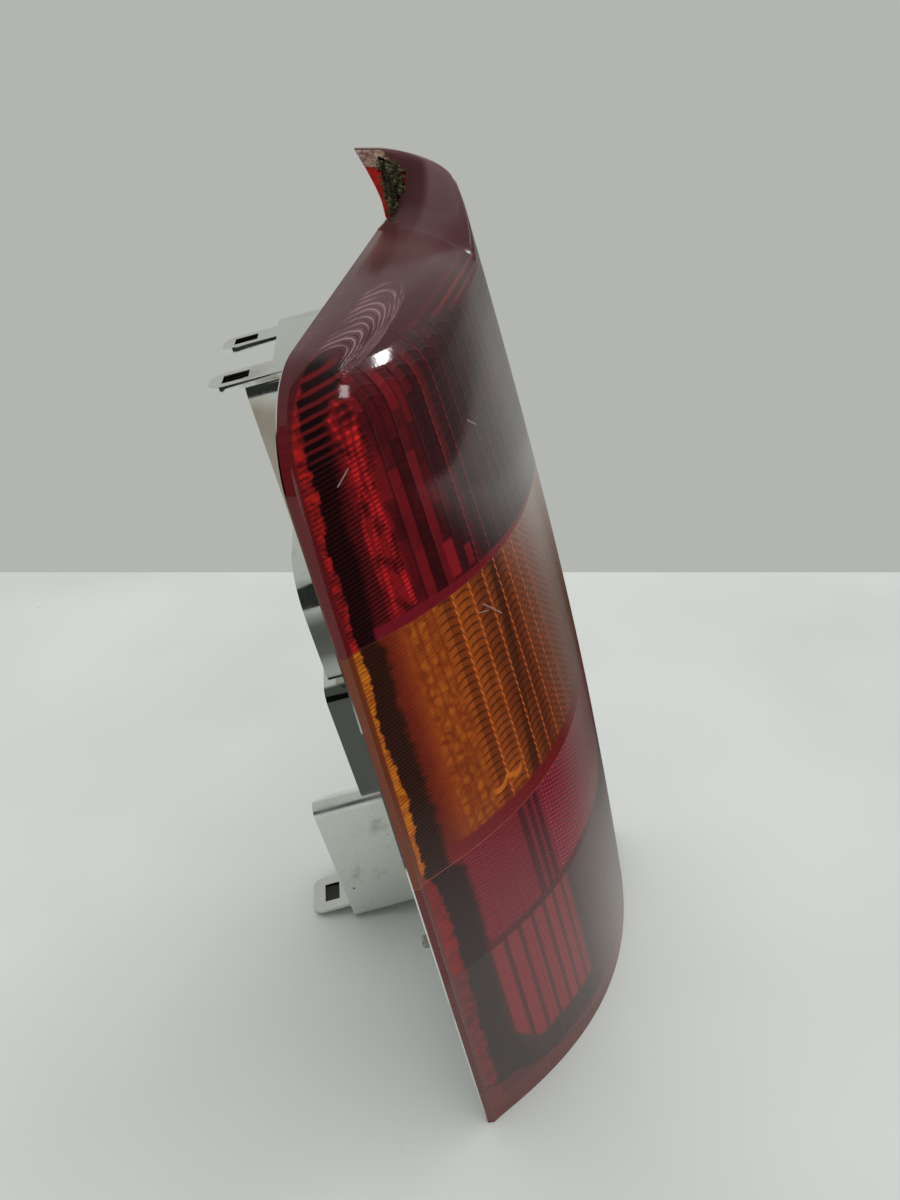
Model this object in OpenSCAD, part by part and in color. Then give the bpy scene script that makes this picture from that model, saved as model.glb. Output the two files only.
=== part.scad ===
// Tail light cluster of a car, left rear, for the corner of the body.
// +Z is up, +X runs from the outer side of the car to its middle, and the lens faces -Y.
// The rim plane, where lens and housing meet, leans forward and sweeps back to the middle of the car.

/* [Lens] */
// Height of the lower red shot
lower_h = 88; // [80:1:96]
// Height of the rose shot
rose_h = 49; // [42:1:56]
// Height of the amber shot
amber_h = 93; // [86:1:100]
// Height of the upper red shot with the raised inner corner
upper_h = 123; // [115:1:132]
// Width of the lens across the car
lens_w = 162; // [158:1:170]
// Wall thickness of the lens
lens_t = 2.6; // [2.2:0.1:3]
// How far the bottom of the lens bulges from its outer edge
wrap_depth = 95.8; // [88:0.2:100]
// Distance over which the lens turns from the side of the car to its rear
wrap_reach = 55.2; // [50:0.2:60]
// Pitch of the vertical flutes inside the lens
flute_pitch = 8.5; // [7:0.5:10]
// Height of the vertical flutes
flute_h = 1.2; // [0.6:0.1:1.6]

/* [Rim] */
// Forward lean of the rim plane in degrees
rim_lean = 11.65; // [10:0.05:13]
// Sweep of the rim plane towards the middle of the car in degrees
rim_sweep = 16.7; // [15:0.1:18]
// Width of the flat land on the rim of the lens
rim_land = 2.5; // [2:0.1:3]

/* [Housing] */
// Wall thickness of the housing
wall = 2.2; // [1.8:0.1:2.6]
// Downward tilt of the chambers, tongues and studs in degrees
depth_lean = 13; // [12:0.5:14]
// Outer side of the three flat chambers
chamber_x0 = 30; // [27:1:33]
// Distance of the three flat chambers from the inner side of the lens
chamber_edge = 56; // [55:1:62]
// Width of the deep lower chamber
deep_w = 41; // [38:1:42]
// How far the deep lower chamber reaches towards the front of the car
deep_reach = 48; // [44:1:52]
// Diameter of the bulb openings
bulb_d = 24; // [20:1:26]

/* [Fixings] */
// Thread diameter of the fixing studs
stud_d = 6; // [5:0.5:6]
// Free length of the fixing studs
stud_len = 18; // [14:1:20]

/* [Hidden] */

// Heights of the seams between the shots, and of the whole lens
rose_z = lower_h;
amber_z = rose_z + rose_h;
red_z = amber_z + amber_h;
lens_h = red_z + upper_h;

// Outline of the lens: a rounded outer corner, a rising top edge and a raised inner corner
corner_r = 30;
corner_drop = 27;
top_rise = 0.148;
horn_h = 24;
horn_len = 16;
horn_flat = 3;
top_r = 20;
far_r = 8;

// The rim runs forward as it rises, and the lens gets flatter towards its top
rim_shift = 1.2;
edge_lean = 0.2353;
edge_bow = 0.0000878;
wrap_loss = 0.058;
wrap_loss_bow = 0.000375;
reach_gain = 0.0072;
face_slope = 0.104;
face_slope_gain = 0.000631;
face_bow = 0.000344;
band_tilt = 0.8;
flute_x0 = 18;

// Steps of the lens surfaces: columns over the faces and rows up the height
outer_step = 10;
inner_step = flute_pitch / 4;
row_step = 24;
round_rows = 5;
band_margin = 7;

// Broken notch beside the raised inner corner
notch = [9, 14, 15];
notch_drop = 8;
notch_x = lens_w - horn_flat - notch[0];
notch_z = lens_h - notch_drop - notch[2];

// Housing: base plate, upstand inside the lens, sealant and partitions
plate_inset = 0.6;
upstand_inset = 9;
upstand_h = 4.5;
bead_t = 3.5;
bead_depths = [2, 9];
partition_h = 14;
partition_x0 = 24;
partition_edge = 10;

// Chambers as bottom and top along the rim, reach, and depth of the recess for the bulb carrier
chamber_x1 = lens_w - chamber_edge;
deep_x1 = lens_w - far_r;
deep_x0 = deep_x1 - deep_w;
top_chamber = [red_z + 34, lens_h - 42, 0, 12];
step_chamber = [red_z - 21, red_z + 32, 7, 0];
mid_chamber = [rose_z + 4, red_z - 25, 9, 0];
deep_chamber = [deep_reach * tan(depth_lean), rose_z, deep_reach, 10];
chamber_r = 5;
shelf_cut_depth = 9;

// Snap tongues as outer side, underside, root and tip
tongue_w = 13;
tongue_t = 2.5;
tongue_r = 5;
tongue_slot = [5, 9.5];
tongue_lip = 2.5;
near_tongue = [chamber_x0 + 1, top_chamber[1] - tongue_t, -11, 11];
far_tongue = [chamber_x1 - 21, top_chamber[1] - tongue_t, -11, 11];
low_tongue = [lens_w - 36, 17.5, deep_reach - 12, deep_reach + 17];

// Studs as place across, place along the rim, and end of their boss
upper_stud = [lens_w - 28, lens_h - 68, -30];
middle_stud = [lens_w - 28, amber_z, -27];
lower_stud = [2 * chamber_x0, lower_h / 2, -6];
boss_r = 7;
stud_sunk = 9;
collar_r = 5.5;
collar_t = 2;
stud_chamfer = 1;

// Clear length past every face
far_away = 200;
$fn = 48;

// Height of the outline's top edge over the place x
function corner_fall(x) =
    x < corner_r ? corner_drop * (1 - sqrt(1 - pow(1 - x / corner_r, 2))) : 0;
function horn_rise(x) =
    let (start = lens_w - horn_flat - horn_len)
    horn_h * pow(min(1, max(0, (x - start) / horn_len)), 2);
function top_z(x) =
    lens_h - horn_h - top_rise * (lens_w - x) - corner_fall(x) + horn_rise(x);

// Rim plane
function rim_y(x, z) = rim_shift + z * tan(rim_lean) - x * tan(rim_sweep);

// Outer face of the lens before its edges are rounded
function wrap(x, z) =
    (wrap_depth - wrap_loss * z - wrap_loss_bow * z * z) * (1 - exp(-x / (wrap_reach + reach_gain * z)))
    + (face_slope + face_slope_gain * z) * x - face_bow * x * x;
function face_depth(x, z) =
    max(0, rim_y(x, z) - edge_lean * z + edge_bow * z * z + wrap(x, z));

// Depth of the lens below the rim plane, with the top edge and the inner edge rounded
function top_round(s) = s < top_r ? sqrt(max(0, 1 - pow(1 - s / top_r, 2))) : 1;
function far_loss(e) = e < far_r ? far_r * (1 - sqrt(max(0, 1 - pow(1 - e / far_r, 2)))) : 0;
function lens_depth(x, z) =
    let (d = max(0, face_depth(x, z) - far_loss(lens_w - x)) * top_round(top_z(x) - z))
    sqrt(rim_land * rim_land + d * d);

// Columns and rows of the lens grid, between the heights lo and hi or up to the rounded top
function columns(step) = concat(
    [for (a = [0:15:90]) corner_r * (1 - cos(a))],
    [for (x = [corner_r + step : step : lens_w - far_r - step / 2]) x],
    [for (a = [0:22.5:90]) lens_w - far_r * (1 - sin(a))]);
function column_rows(x, lo, hi) =
    let (to_top = hi > lens_h,
         end = to_top ? top_z(x) - top_r : hi,
         n = ceil(((to_top ? lens_h : hi) - lo) / row_step))
    concat([for (m = [0:n]) lo + (end - lo) * m / n],
           [for (k = [1:1:to_top ? round_rows : 0]) end + top_r * sin(90 * k / round_rows)]);

// Inner face of the lens, shrunk by an extra gap
function inner_x(x, gap) = gap + x * (lens_w - 2 * gap) / lens_w;
function inner_z(x, z, gap) = gap + z * (top_z(x) - 2 * gap) / top_z(x);
function flute(x, z) =
    x < flute_x0 || x > lens_w - far_r ? 0
    : flute_h * (0.5 - 0.5 * cos(360 * (x - flute_x0) / flute_pitch))
      * min(1, max(0, top_z(x) - top_r - z) / top_r);
function inner_depth(x, z, gap, fluted) =
    let (d = lens_depth(x, z))
    d - gap * d / (d + 4) - (fluted ? flute(x, z) : 0);

// Middle of the object's base, which is the origin of the finished part
rear_y = min([for (x = columns(outer_step)) rim_y(x, 0) - lens_depth(x, 0)]);
front_y = near_tongue[3] * cos(depth_lean) + (near_tongue[1] + tongue_t) * sin(depth_lean);
module placed() {
    translate([-lens_w / 2, -(front_y + rear_y) / 2, 0])
        children();
}

// Closed solid between a front grid of points and the plane at a distance behind the rim
module rim_solid(grid, behind) {
    nx = len(grid);
    nz = len(grid[0]);
    function at(i, j) = i * nz + j;
    loop = concat([for (i = [0:nx - 1]) at(i, 0)],
                  [for (j = [1:nz - 1]) at(nx - 1, j)],
                  [for (i = [nx - 2:-1:0]) at(i, nz - 1)],
                  [for (j = [nz - 2:-1:1]) at(0, j)]);
    n = len(loop);
    front = [for (c = grid) each c];
    back = [for (k = loop) [front[k][0], rim_y(front[k][0], front[k][2]) + behind, front[k][2]]];
    hub_x = 0.9 * lens_w;
    hub_z = front[0][2] + row_step / 4;
    hub = [hub_x, rim_y(hub_x, hub_z) + behind, hub_z];
    first = nx * nz;
    faces = concat(
        [for (i = [0:nx - 2], j = [0:nz - 2]) each
            [[at(i, j), at(i, j + 1), at(i + 1, j + 1)], [at(i, j), at(i + 1, j + 1), at(i + 1, j)]]],
        [for (k = [0:n - 1]) let (m = (k + 1) % n) each
            [[loop[k], loop[m], first + m], [loop[k], first + m, first + k],
             [first + k, first + m, first + n]]]);
    polyhedron(concat(front, back, [hub]), faces, convexity = 6);
}

// The lens as a solid block, and the hollow inside it
module lens_block(lo, hi) {
    rim_solid([for (x = columns(outer_step)) [for (z = column_rows(x, lo, hi))
        [x, rim_y(x, z) - lens_depth(x, z), z]]], 0);
}
function hollow_point(x, z, gap, fluted) =
    let (u = inner_x(x, gap), v = inner_z(x, z, gap))
    [u, rim_y(u, v) - inner_depth(x, z, gap, fluted), v];
module lens_hollow(lo, hi, gap, fluted) {
    rim_solid([for (x = columns(fluted ? inner_step : outer_step)) [for (z = column_rows(x, lo, hi))
        hollow_point(x, z, gap, fluted)]], rim_land);
}

// Slice of the lens between two heights
module band(z0, z1) {
    rotate([0, band_tilt, 0])
        translate([-far_away, -far_away, z0])
            cube([3 * far_away, 2 * far_away, z1 - z0]);
}
module notch_cut() {
    translate([notch_x, rim_y(notch_x, notch_z) - notch[1] + rim_land, notch_z])
        cube(notch);
}
module lens_shot(z0, z1) {
    lo = max(0, z0 - band_margin);
    hi = z1 + band_margin;
    difference() {
        intersection() {
            lens_block(lo, hi);
            band(z0, z1);
        }
        lens_hollow(lo, hi, lens_t, true);
        notch_cut();
    }
}

// Frame of the housing: x across, y along the depth of the chambers, z along the rim
module leaned() {
    rotate([-depth_lean, 0, 0])
        children();
}
function along_rim(x, z) = rim_y(x, z) * sin(depth_lean) + z * cos(depth_lean);

// Layer between two distances behind the rim plane
module rim_layer(a, b) {
    lean = asin(tan(rim_lean) / norm([tan(rim_lean), 1, tan(rim_sweep)]));
    translate([0, rim_shift, 0])
        rotate([-lean, 0, -rim_sweep])
            translate([-2 * far_away, a, -far_away])
                cube([4 * far_away, b - a, 4 * far_away]);
}

// Prism along the depth of the housing over an outline of [x, z] points
module depth_prism(outline, w0, w1) {
    leaned()
        translate([0, w1, 0])
            rotate([90, 0, 0])
                linear_extrude(w1 - w0)
                    polygon(outline);
}
function outline_points(inset) =
    let (top = columns(outer_step))
    concat([for (x = [inset, lens_w - inset]) [x, along_rim(x, inset)]],
           [for (k = [len(top) - 1:-1:0])
               let (x = inner_x(top[k], inset))
               [x, along_rim(x, top_z(top[k]) - inset)]]);
function rounded_rect(x0, x1, t0, t1, r) =
    let (corners = [[x1 - r, t1 - r, 0], [x0 + r, t1 - r, 90], [x0 + r, t0 + r, 180], [x1 - r, t0 + r, 270]])
    [for (c = corners, a = [0:22.5:90])
        [c[0] + r * cos(c[2] + a), c[1] + r * sin(c[2] + a)]];

// One chamber of the housing: its block, and the hollows in front of and behind its floor
module chamber_block(x0, x1, c) {
    intersection() {
        depth_prism(rounded_rect(x0, x1, c[0], c[1], chamber_r), -far_away, c[2]);
        rim_layer(0, 2 * far_away);
    }
}
module chamber_hollow(x0, x1, c) {
    inside = rounded_rect(x0 + wall, x1 - wall, c[0] + wall, c[1] - wall, chamber_r - wall);
    depth_prism(inside, -far_away, c[2] - c[3] - wall);
    if (c[3] > 0)
        depth_prism(inside, c[2] - c[3], c[2] + wall);
}
module bulb_hole(x0, x1, t0, t1, floor_w) {
    leaned()
        translate([(x0 + x1) / 2, floor_w + wall, (t0 + t1) / 2])
            rotate([90, 0, 0])
                cylinder(d = min(bulb_d, t1 - t0 - 4 * wall), h = 3 * wall);
}

// Snap tongue with a round tip and a slot
module tongue(p) {
    r = tongue_r;
    tip = concat(
        [for (a = [0:15:90]) [p[0] + tongue_w - r + r * cos(a), p[3] - r + r * sin(a)]],
        [for (a = [0:15:90]) [p[0] + r - r * sin(a), p[3] - r + r * cos(a)]]);
    leaned()
        translate([0, 0, p[1]])
            difference() {
                linear_extrude(tongue_t)
                    polygon(concat([[p[0], p[2]], [p[0] + tongue_w, p[2]]], tip));
                translate([p[0] + (tongue_w - tongue_slot[0]) / 2, p[3] - tongue_lip - tongue_slot[1], -1])
                    cube([tongue_slot[0], tongue_slot[1], tongue_t + 2]);
            }
}

// Boss for a stud on the car side of the base plate
module stud_boss(p) {
    intersection() {
        leaned()
            translate([p[0], p[2], p[1]])
                rotate([90, 0, 0])
                    cylinder(r = boss_r, h = far_away);
        rim_layer(0, 2 * far_away);
    }
}
module stud_hole(p) {
    leaned()
        translate([p[0], p[2] - stud_sunk, p[1]])
            rotate([-90, 0, 0])
                cylinder(d = stud_d, h = stud_sunk + 1);
}

// Partition between two colours, from the chamber floor to the lens
module partition(z) {
    t = along_rim(lens_w / 2, z);
    x1 = lens_w - partition_edge;
    sheet = [[partition_x0, t - wall / 2], [x1, t - wall / 2],
             [x1, t + wall / 2], [partition_x0, t + wall / 2]];
    intersection() {
        depth_prism(sheet, -far_away, step_chamber[2] - wall / 2);
        union() {
            rim_layer(-partition_h, wall / 2);
            chamber_block(chamber_x0, chamber_x1, step_chamber);
            chamber_block(chamber_x0, chamber_x1, mid_chamber);
        }
    }
}

module base_plate() {
    intersection() {
        depth_prism(outline_points(plate_inset), -far_away, far_away);
        rim_layer(0, wall);
    }
}
module upstand() {
    difference() {
        intersection() {
            depth_prism(outline_points(upstand_inset), -far_away, far_away);
            rim_layer(-upstand_h, wall / 2);
        }
        depth_prism(outline_points(upstand_inset + wall), -far_away - 1, far_away + 1);
    }
}

module housing() {
    color("silver") placed() {
        difference() {
            union() {
                base_plate();
                upstand();
                for (c = [top_chamber, step_chamber, mid_chamber])
                    chamber_block(chamber_x0, chamber_x1, c);
                chamber_block(deep_x0, deep_x1, deep_chamber);
                for (p = [upper_stud, middle_stud, lower_stud])
                    stud_boss(p);
            }
            for (c = [top_chamber, step_chamber, mid_chamber])
                chamber_hollow(chamber_x0, chamber_x1, c);
            chamber_hollow(deep_x0, deep_x1, deep_chamber);
            for (p = [upper_stud, middle_stud, lower_stud])
                stud_hole(p);
            bulb_hole(chamber_x0, chamber_x1, top_chamber[0], top_chamber[1], top_chamber[2] - top_chamber[3]);
            bulb_hole(chamber_x0, chamber_x1, amber_z, mid_chamber[1], mid_chamber[2]);
            bulb_hole(chamber_x0, chamber_x1, mid_chamber[0], amber_z, mid_chamber[2]);
            bulb_hole(deep_x0, deep_x1, deep_chamber[0], deep_chamber[1], deep_chamber[2] - deep_chamber[3]);
            leaned()
                translate([chamber_x0 + chamber_r, -shelf_cut_depth, top_chamber[1] - 2 * wall])
                    cube([chamber_x1 - chamber_x0 - 2 * chamber_r, 2 * shelf_cut_depth, 4 * wall]);
        }
        for (z = [amber_z, red_z])
            partition(z);
        for (p = [near_tongue, far_tongue, low_tongue])
            tongue(p);
    }
}

// Old sealant, a bead along the inside of the lens
module sealant_bead() {
    color([0.06, 0.04, 0.04]) placed()
        difference() {
            intersection() {
                lens_hollow(0, lens_h + far_away, lens_t, false);
                rim_layer(-bead_depths[1], -bead_depths[0]);
            }
            depth_prism(outline_points(lens_t + bead_t), -far_away - 1, far_away + 1);
            notch_cut();
        }
}

// Steel stud pressed into its boss, with a collar on the boss
module stud(p) {
    color([0.55, 0.56, 0.58]) placed()
        leaned()
            translate([p[0], p[2], p[1]])
                rotate([-90, 0, 0]) {
                    translate([0, 0, -stud_sunk])
                        cylinder(d = stud_d, h = stud_sunk + stud_len - stud_chamfer);
                    cylinder(r = collar_r, h = collar_t);
                    translate([0, 0, stud_len - stud_chamfer])
                        cylinder(d1 = stud_d, d2 = stud_d - 2 * stud_chamfer, h = stud_chamfer);
                }
}

module lens_red_upper() {
    color([0.35, 0.02, 0.05, 0.9]) placed()
        lens_shot(red_z, lens_h + far_away);
}
module lens_amber() {
    color([0.8, 0.35, 0.05, 0.9]) placed()
        lens_shot(amber_z, red_z);
}
module lens_rose() {
    color([0.6, 0.12, 0.2, 0.9]) placed()
        lens_shot(rose_z, amber_z);
}
module lens_red_lower() {
    color([0.45, 0.04, 0.1, 0.9]) placed()
        lens_shot(-far_away, rose_z);
}

lens_red_upper();
lens_amber();
lens_rose();
lens_red_lower();
housing();
sealant_bead();
stud(upper_stud);  // stud_upper
stud(middle_stud);  // stud_middle
stud(lower_stud);  // stud_lower
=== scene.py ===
import math

import bmesh
import bpy
import numpy as np
from mathutils import Matrix, Quaternion, Vector, noise


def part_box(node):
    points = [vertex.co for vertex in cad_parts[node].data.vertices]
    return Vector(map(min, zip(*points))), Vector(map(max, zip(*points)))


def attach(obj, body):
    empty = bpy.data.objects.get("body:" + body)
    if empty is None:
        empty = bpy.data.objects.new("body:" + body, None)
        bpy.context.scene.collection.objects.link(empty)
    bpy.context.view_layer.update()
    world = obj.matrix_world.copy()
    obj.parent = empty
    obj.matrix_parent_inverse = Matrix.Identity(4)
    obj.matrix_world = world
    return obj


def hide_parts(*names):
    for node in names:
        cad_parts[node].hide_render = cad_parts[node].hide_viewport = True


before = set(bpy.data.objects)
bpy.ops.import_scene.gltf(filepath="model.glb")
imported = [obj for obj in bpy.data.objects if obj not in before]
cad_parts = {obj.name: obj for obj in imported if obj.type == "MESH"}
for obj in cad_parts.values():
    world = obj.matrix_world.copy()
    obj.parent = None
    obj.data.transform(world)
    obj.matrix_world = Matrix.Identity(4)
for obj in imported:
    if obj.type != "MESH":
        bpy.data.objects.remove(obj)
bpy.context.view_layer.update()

# Shape values in mm, in the frame of the CAD source: x from the outer side of the car to its middle,
# y to the front of the car, z up. OFFSET brings them to the part's frame.
OFFSET = np.array([-81.0, 8.577014, 0.0])
WIDTH, LAND, LENS_T, LENS_H = 162.0, 2.5, 2.6, 353.0
CORNER_R, CORNER_DROP, TOP_RISE = 30.0, 27.0, 0.148
HORN_H, HORN_LEN, HORN_FLAT = 24.0, 16.0, 3.0
TOP_R, HORN_R, FAR_R = 20.0, 11.0, 8.0
ROSE_Z, AMBER_Z, RED_Z = 88.0, 137.0, 230.0
FRONT_Y = -97.82
BAND_TILT = math.radians(0.8)
FLUTE_X0, FLUTE_PITCH, FLUTE_H = 18.0, 8.5, 1.2
RIM_LEAN, RIM_SWEEP = math.tan(math.radians(11.65)), math.tan(math.radians(16.7))
LEAN = math.radians(13.0)


def to_part(points):
    """Points in mm of the source's frame, in metres of the part's frame."""
    return (np.asarray(points, float) + OFFSET) / 1000.0


# ---------------------------------------------------------------- form of the lens

pitch, turn = 0.50558, 0.131375
forward = Vector((math.cos(pitch) * math.cos(turn), -math.cos(pitch) * math.sin(turn), -math.sin(pitch)))
plan = Matrix(((math.cos(turn), -math.sin(turn)), (-math.sin(turn), -math.cos(turn)))).inverted() @ Vector((-0.22028, -0.01701))
eye = Vector((plan[0] + OFFSET[0] / 1000.0, plan[1] + OFFSET[1] / 1000.0, 0.368))


def sight(u, v, x):
    """The point in mm, at depth x, that the camera sees at (u, v) of the 900 x 1200 picture."""
    right = Vector((-math.sin(turn), -math.cos(turn), 0.0))
    down = forward.cross(right)
    ray = forward + right * ((u - 450.0) / 900.0) + down * ((v - 600.0) / 900.0)
    start = np.array(eye) * 1000.0 - OFFSET
    return start + np.array(ray) * ((x - start[0]) / ray[0])


def top_z(x):
    x = np.asarray(x, float)
    inner = np.clip(1 - x / CORNER_R, 0, 1)
    fall = CORNER_DROP * (1 - np.sqrt(np.clip(1 - inner ** 2, 0, 1)))
    horn = HORN_H * np.clip((x - (WIDTH - HORN_FLAT - HORN_LEN)) / HORN_LEN, 0, 1) ** 2
    return LENS_H - HORN_H - TOP_RISE * (WIDTH - x) - fall + horn


def rim_y(x, z):
    return 1.2 + z * RIM_LEAN - x * RIM_SWEEP


def rim_lift(x, z):
    """How far the rim of the raised corner reaches back behind the rim plane."""
    return 6.3 * np.clip((z - 334) / 19, 0, 1) ** 1.3 * np.clip((x - 140) / 20, 0, 1)


def wrap(x, z):
    return ((95.8 - 0.058 * z - 0.000375 * z * z) * (1 - np.exp(-x / (55.2 + 0.0072 * z)))
            + (0.104 + 0.000631 * z) * x - 0.000344 * x * x
            + 6.5 * (x / WIDTH * z / LENS_H) ** 3)


def face_depth(x, z):
    return np.maximum(0, rim_y(x, z) - 0.2353 * z + 0.0000878 * z * z + wrap(x, z))


def round_r(x):
    """Radius of the rounded top edge at x."""
    return TOP_R - (TOP_R - HORN_R) * (x / WIDTH) ** 3


def lens_depth(x, z):
    e = np.clip(1 - (WIDTH - x) / FAR_R, 0, 1)
    s = np.clip(1 - (top_z(x) - z) / round_r(x), 0, 1)
    d = np.maximum(0, face_depth(x, z) - FAR_R * (1 - np.sqrt(np.clip(1 - e * e, 0, 1))))
    return np.hypot(LAND, d * np.sqrt(np.clip(1 - s * s, 0, 1)))


def flute(x, z):
    wave = FLUTE_H * (0.5 - 0.5 * np.cos(2 * np.pi * (x - FLUTE_X0) / FLUTE_PITCH))
    fade = np.clip((top_z(x) - TOP_R - z) / TOP_R, 0, 1)
    return np.where((x < FLUTE_X0) | (x > WIDTH - FAR_R), 0, wave * fade)


def seam(z0, x):
    """Height at x of the seam that starts at z0 on the outer side."""
    return z0 / math.cos(BAND_TILT) - x * math.tan(BAND_TILT)


def lens_columns():
    a = np.radians(np.arange(0, 90.1, 5))
    b = np.radians(np.arange(0, 90.1, 9))
    return np.concatenate([CORNER_R * (1 - np.cos(a)),
                           np.arange(CORNER_R + 1.7, WIDTH - FAR_R - 0.6, 1.7),
                           WIDTH - FAR_R * (1 - np.sin(b))])


def outline():
    """The outer and upper edge of the lens as points and their distance along it."""
    a = np.radians(np.arange(0, 90.1, 2))
    corner = CORNER_R * (1 - np.cos(a))
    xs = np.concatenate([np.zeros(140), corner, np.arange(CORNER_R + 1.5, WIDTH + 0.1, 1.5)])
    zs = np.concatenate([np.linspace(0, float(top_z(0)) - 0.5, 140), top_z(xs[140:])])
    run = np.concatenate([[0], np.cumsum(np.hypot(np.diff(xs), np.diff(zs)))])
    return np.stack([xs, zs], 1), run


OUTLINE, RUN = outline()


def rim_place(x, z):
    """Distance from the outer and upper edge, and place along it, of each point."""
    pts = np.stack([x, z], 1)
    a, b = OUTLINE[:-1], OUTLINE[1:]
    d = b - a
    length2 = (d ** 2).sum(1)
    u, s = np.empty(len(pts)), np.empty(len(pts))
    for i in range(0, len(pts), 4000):
        p = pts[i:i + 4000, None]
        t = np.clip(((p - a) * d).sum(2) / length2, 0, 1)
        q = a + t[..., None] * d
        dist = np.hypot(*(np.moveaxis(p - q, 2, 0)))
        k = dist.argmin(1)
        r = np.arange(len(k))
        u[i:i + 4000] = dist[r, k]
        s[i:i + 4000] = RUN[k] + t[r, k] * np.sqrt(length2[k])
    return u, s


# ---------------------------------------------------------------- mesh helpers

def new_object(name, verts, faces, materials, indices=None, smooth=True):
    mesh = bpy.data.meshes.new(name)
    mesh.from_pydata([tuple(v) for v in verts], [], [tuple(int(i) for i in f) for f in faces])
    for m in materials:
        mesh.materials.append(m)
    if indices is not None:
        mesh.polygons.foreach_set("material_index", np.asarray(indices, np.int32))
    mesh.polygons.foreach_set("use_smooth", np.full(len(mesh.polygons), smooth))
    mesh.validate()
    mesh.update()
    obj = bpy.data.objects.new(name, mesh)
    bpy.context.scene.collection.objects.link(obj)
    return obj


def set_vector(mesh, name, values):
    attribute = mesh.attributes.new(name, "FLOAT_VECTOR", "POINT")
    attribute.data.foreach_set("vector", np.asarray(values, np.float32).ravel())


def sharpen(obj, degrees):
    """Marks edges sharper than an angle, so that smooth shading stops there."""
    bm = bmesh.new()
    bm.from_mesh(obj.data)
    for e in bm.edges:
        if len(e.link_faces) == 2 and e.calc_face_angle(0) > math.radians(degrees):
            e.smooth = False
    bm.to_mesh(obj.data)
    bm.free()


def apply_modifiers(obj):
    bpy.context.view_layer.update()
    dg = bpy.context.evaluated_depsgraph_get()
    mesh = bpy.data.meshes.new_from_object(obj.evaluated_get(dg))
    obj.modifiers.clear()
    obj.data = mesh


# ---------------------------------------------------------------- material helpers

def rgb(r, g, b):
    """A colour as a screen shows it, from 0 to 255, in linear light."""
    return tuple(((c / 255 + 0.055) / 1.055) ** 2.4 if c > 10 else c / 3294.6 for c in (r, g, b)) + (1.0,)


class Value:
    """A number in a node tree, for writing shader math as plain formulas."""

    def __init__(self, mat, socket):
        self.mat, self.socket = mat, socket

    def __add__(self, o): return self.mat.math("ADD", self, o)
    def __radd__(self, o): return self.mat.math("ADD", o, self)
    def __sub__(self, o): return self.mat.math("SUBTRACT", self, o)
    def __rsub__(self, o): return self.mat.math("SUBTRACT", o, self)
    def __mul__(self, o): return self.mat.math("MULTIPLY", self, o)
    def __rmul__(self, o): return self.mat.math("MULTIPLY", o, self)
    def __truediv__(self, o): return self.mat.math("DIVIDE", self, o)
    def __neg__(self): return self.mat.math("MULTIPLY", self, -1.0)


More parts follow.
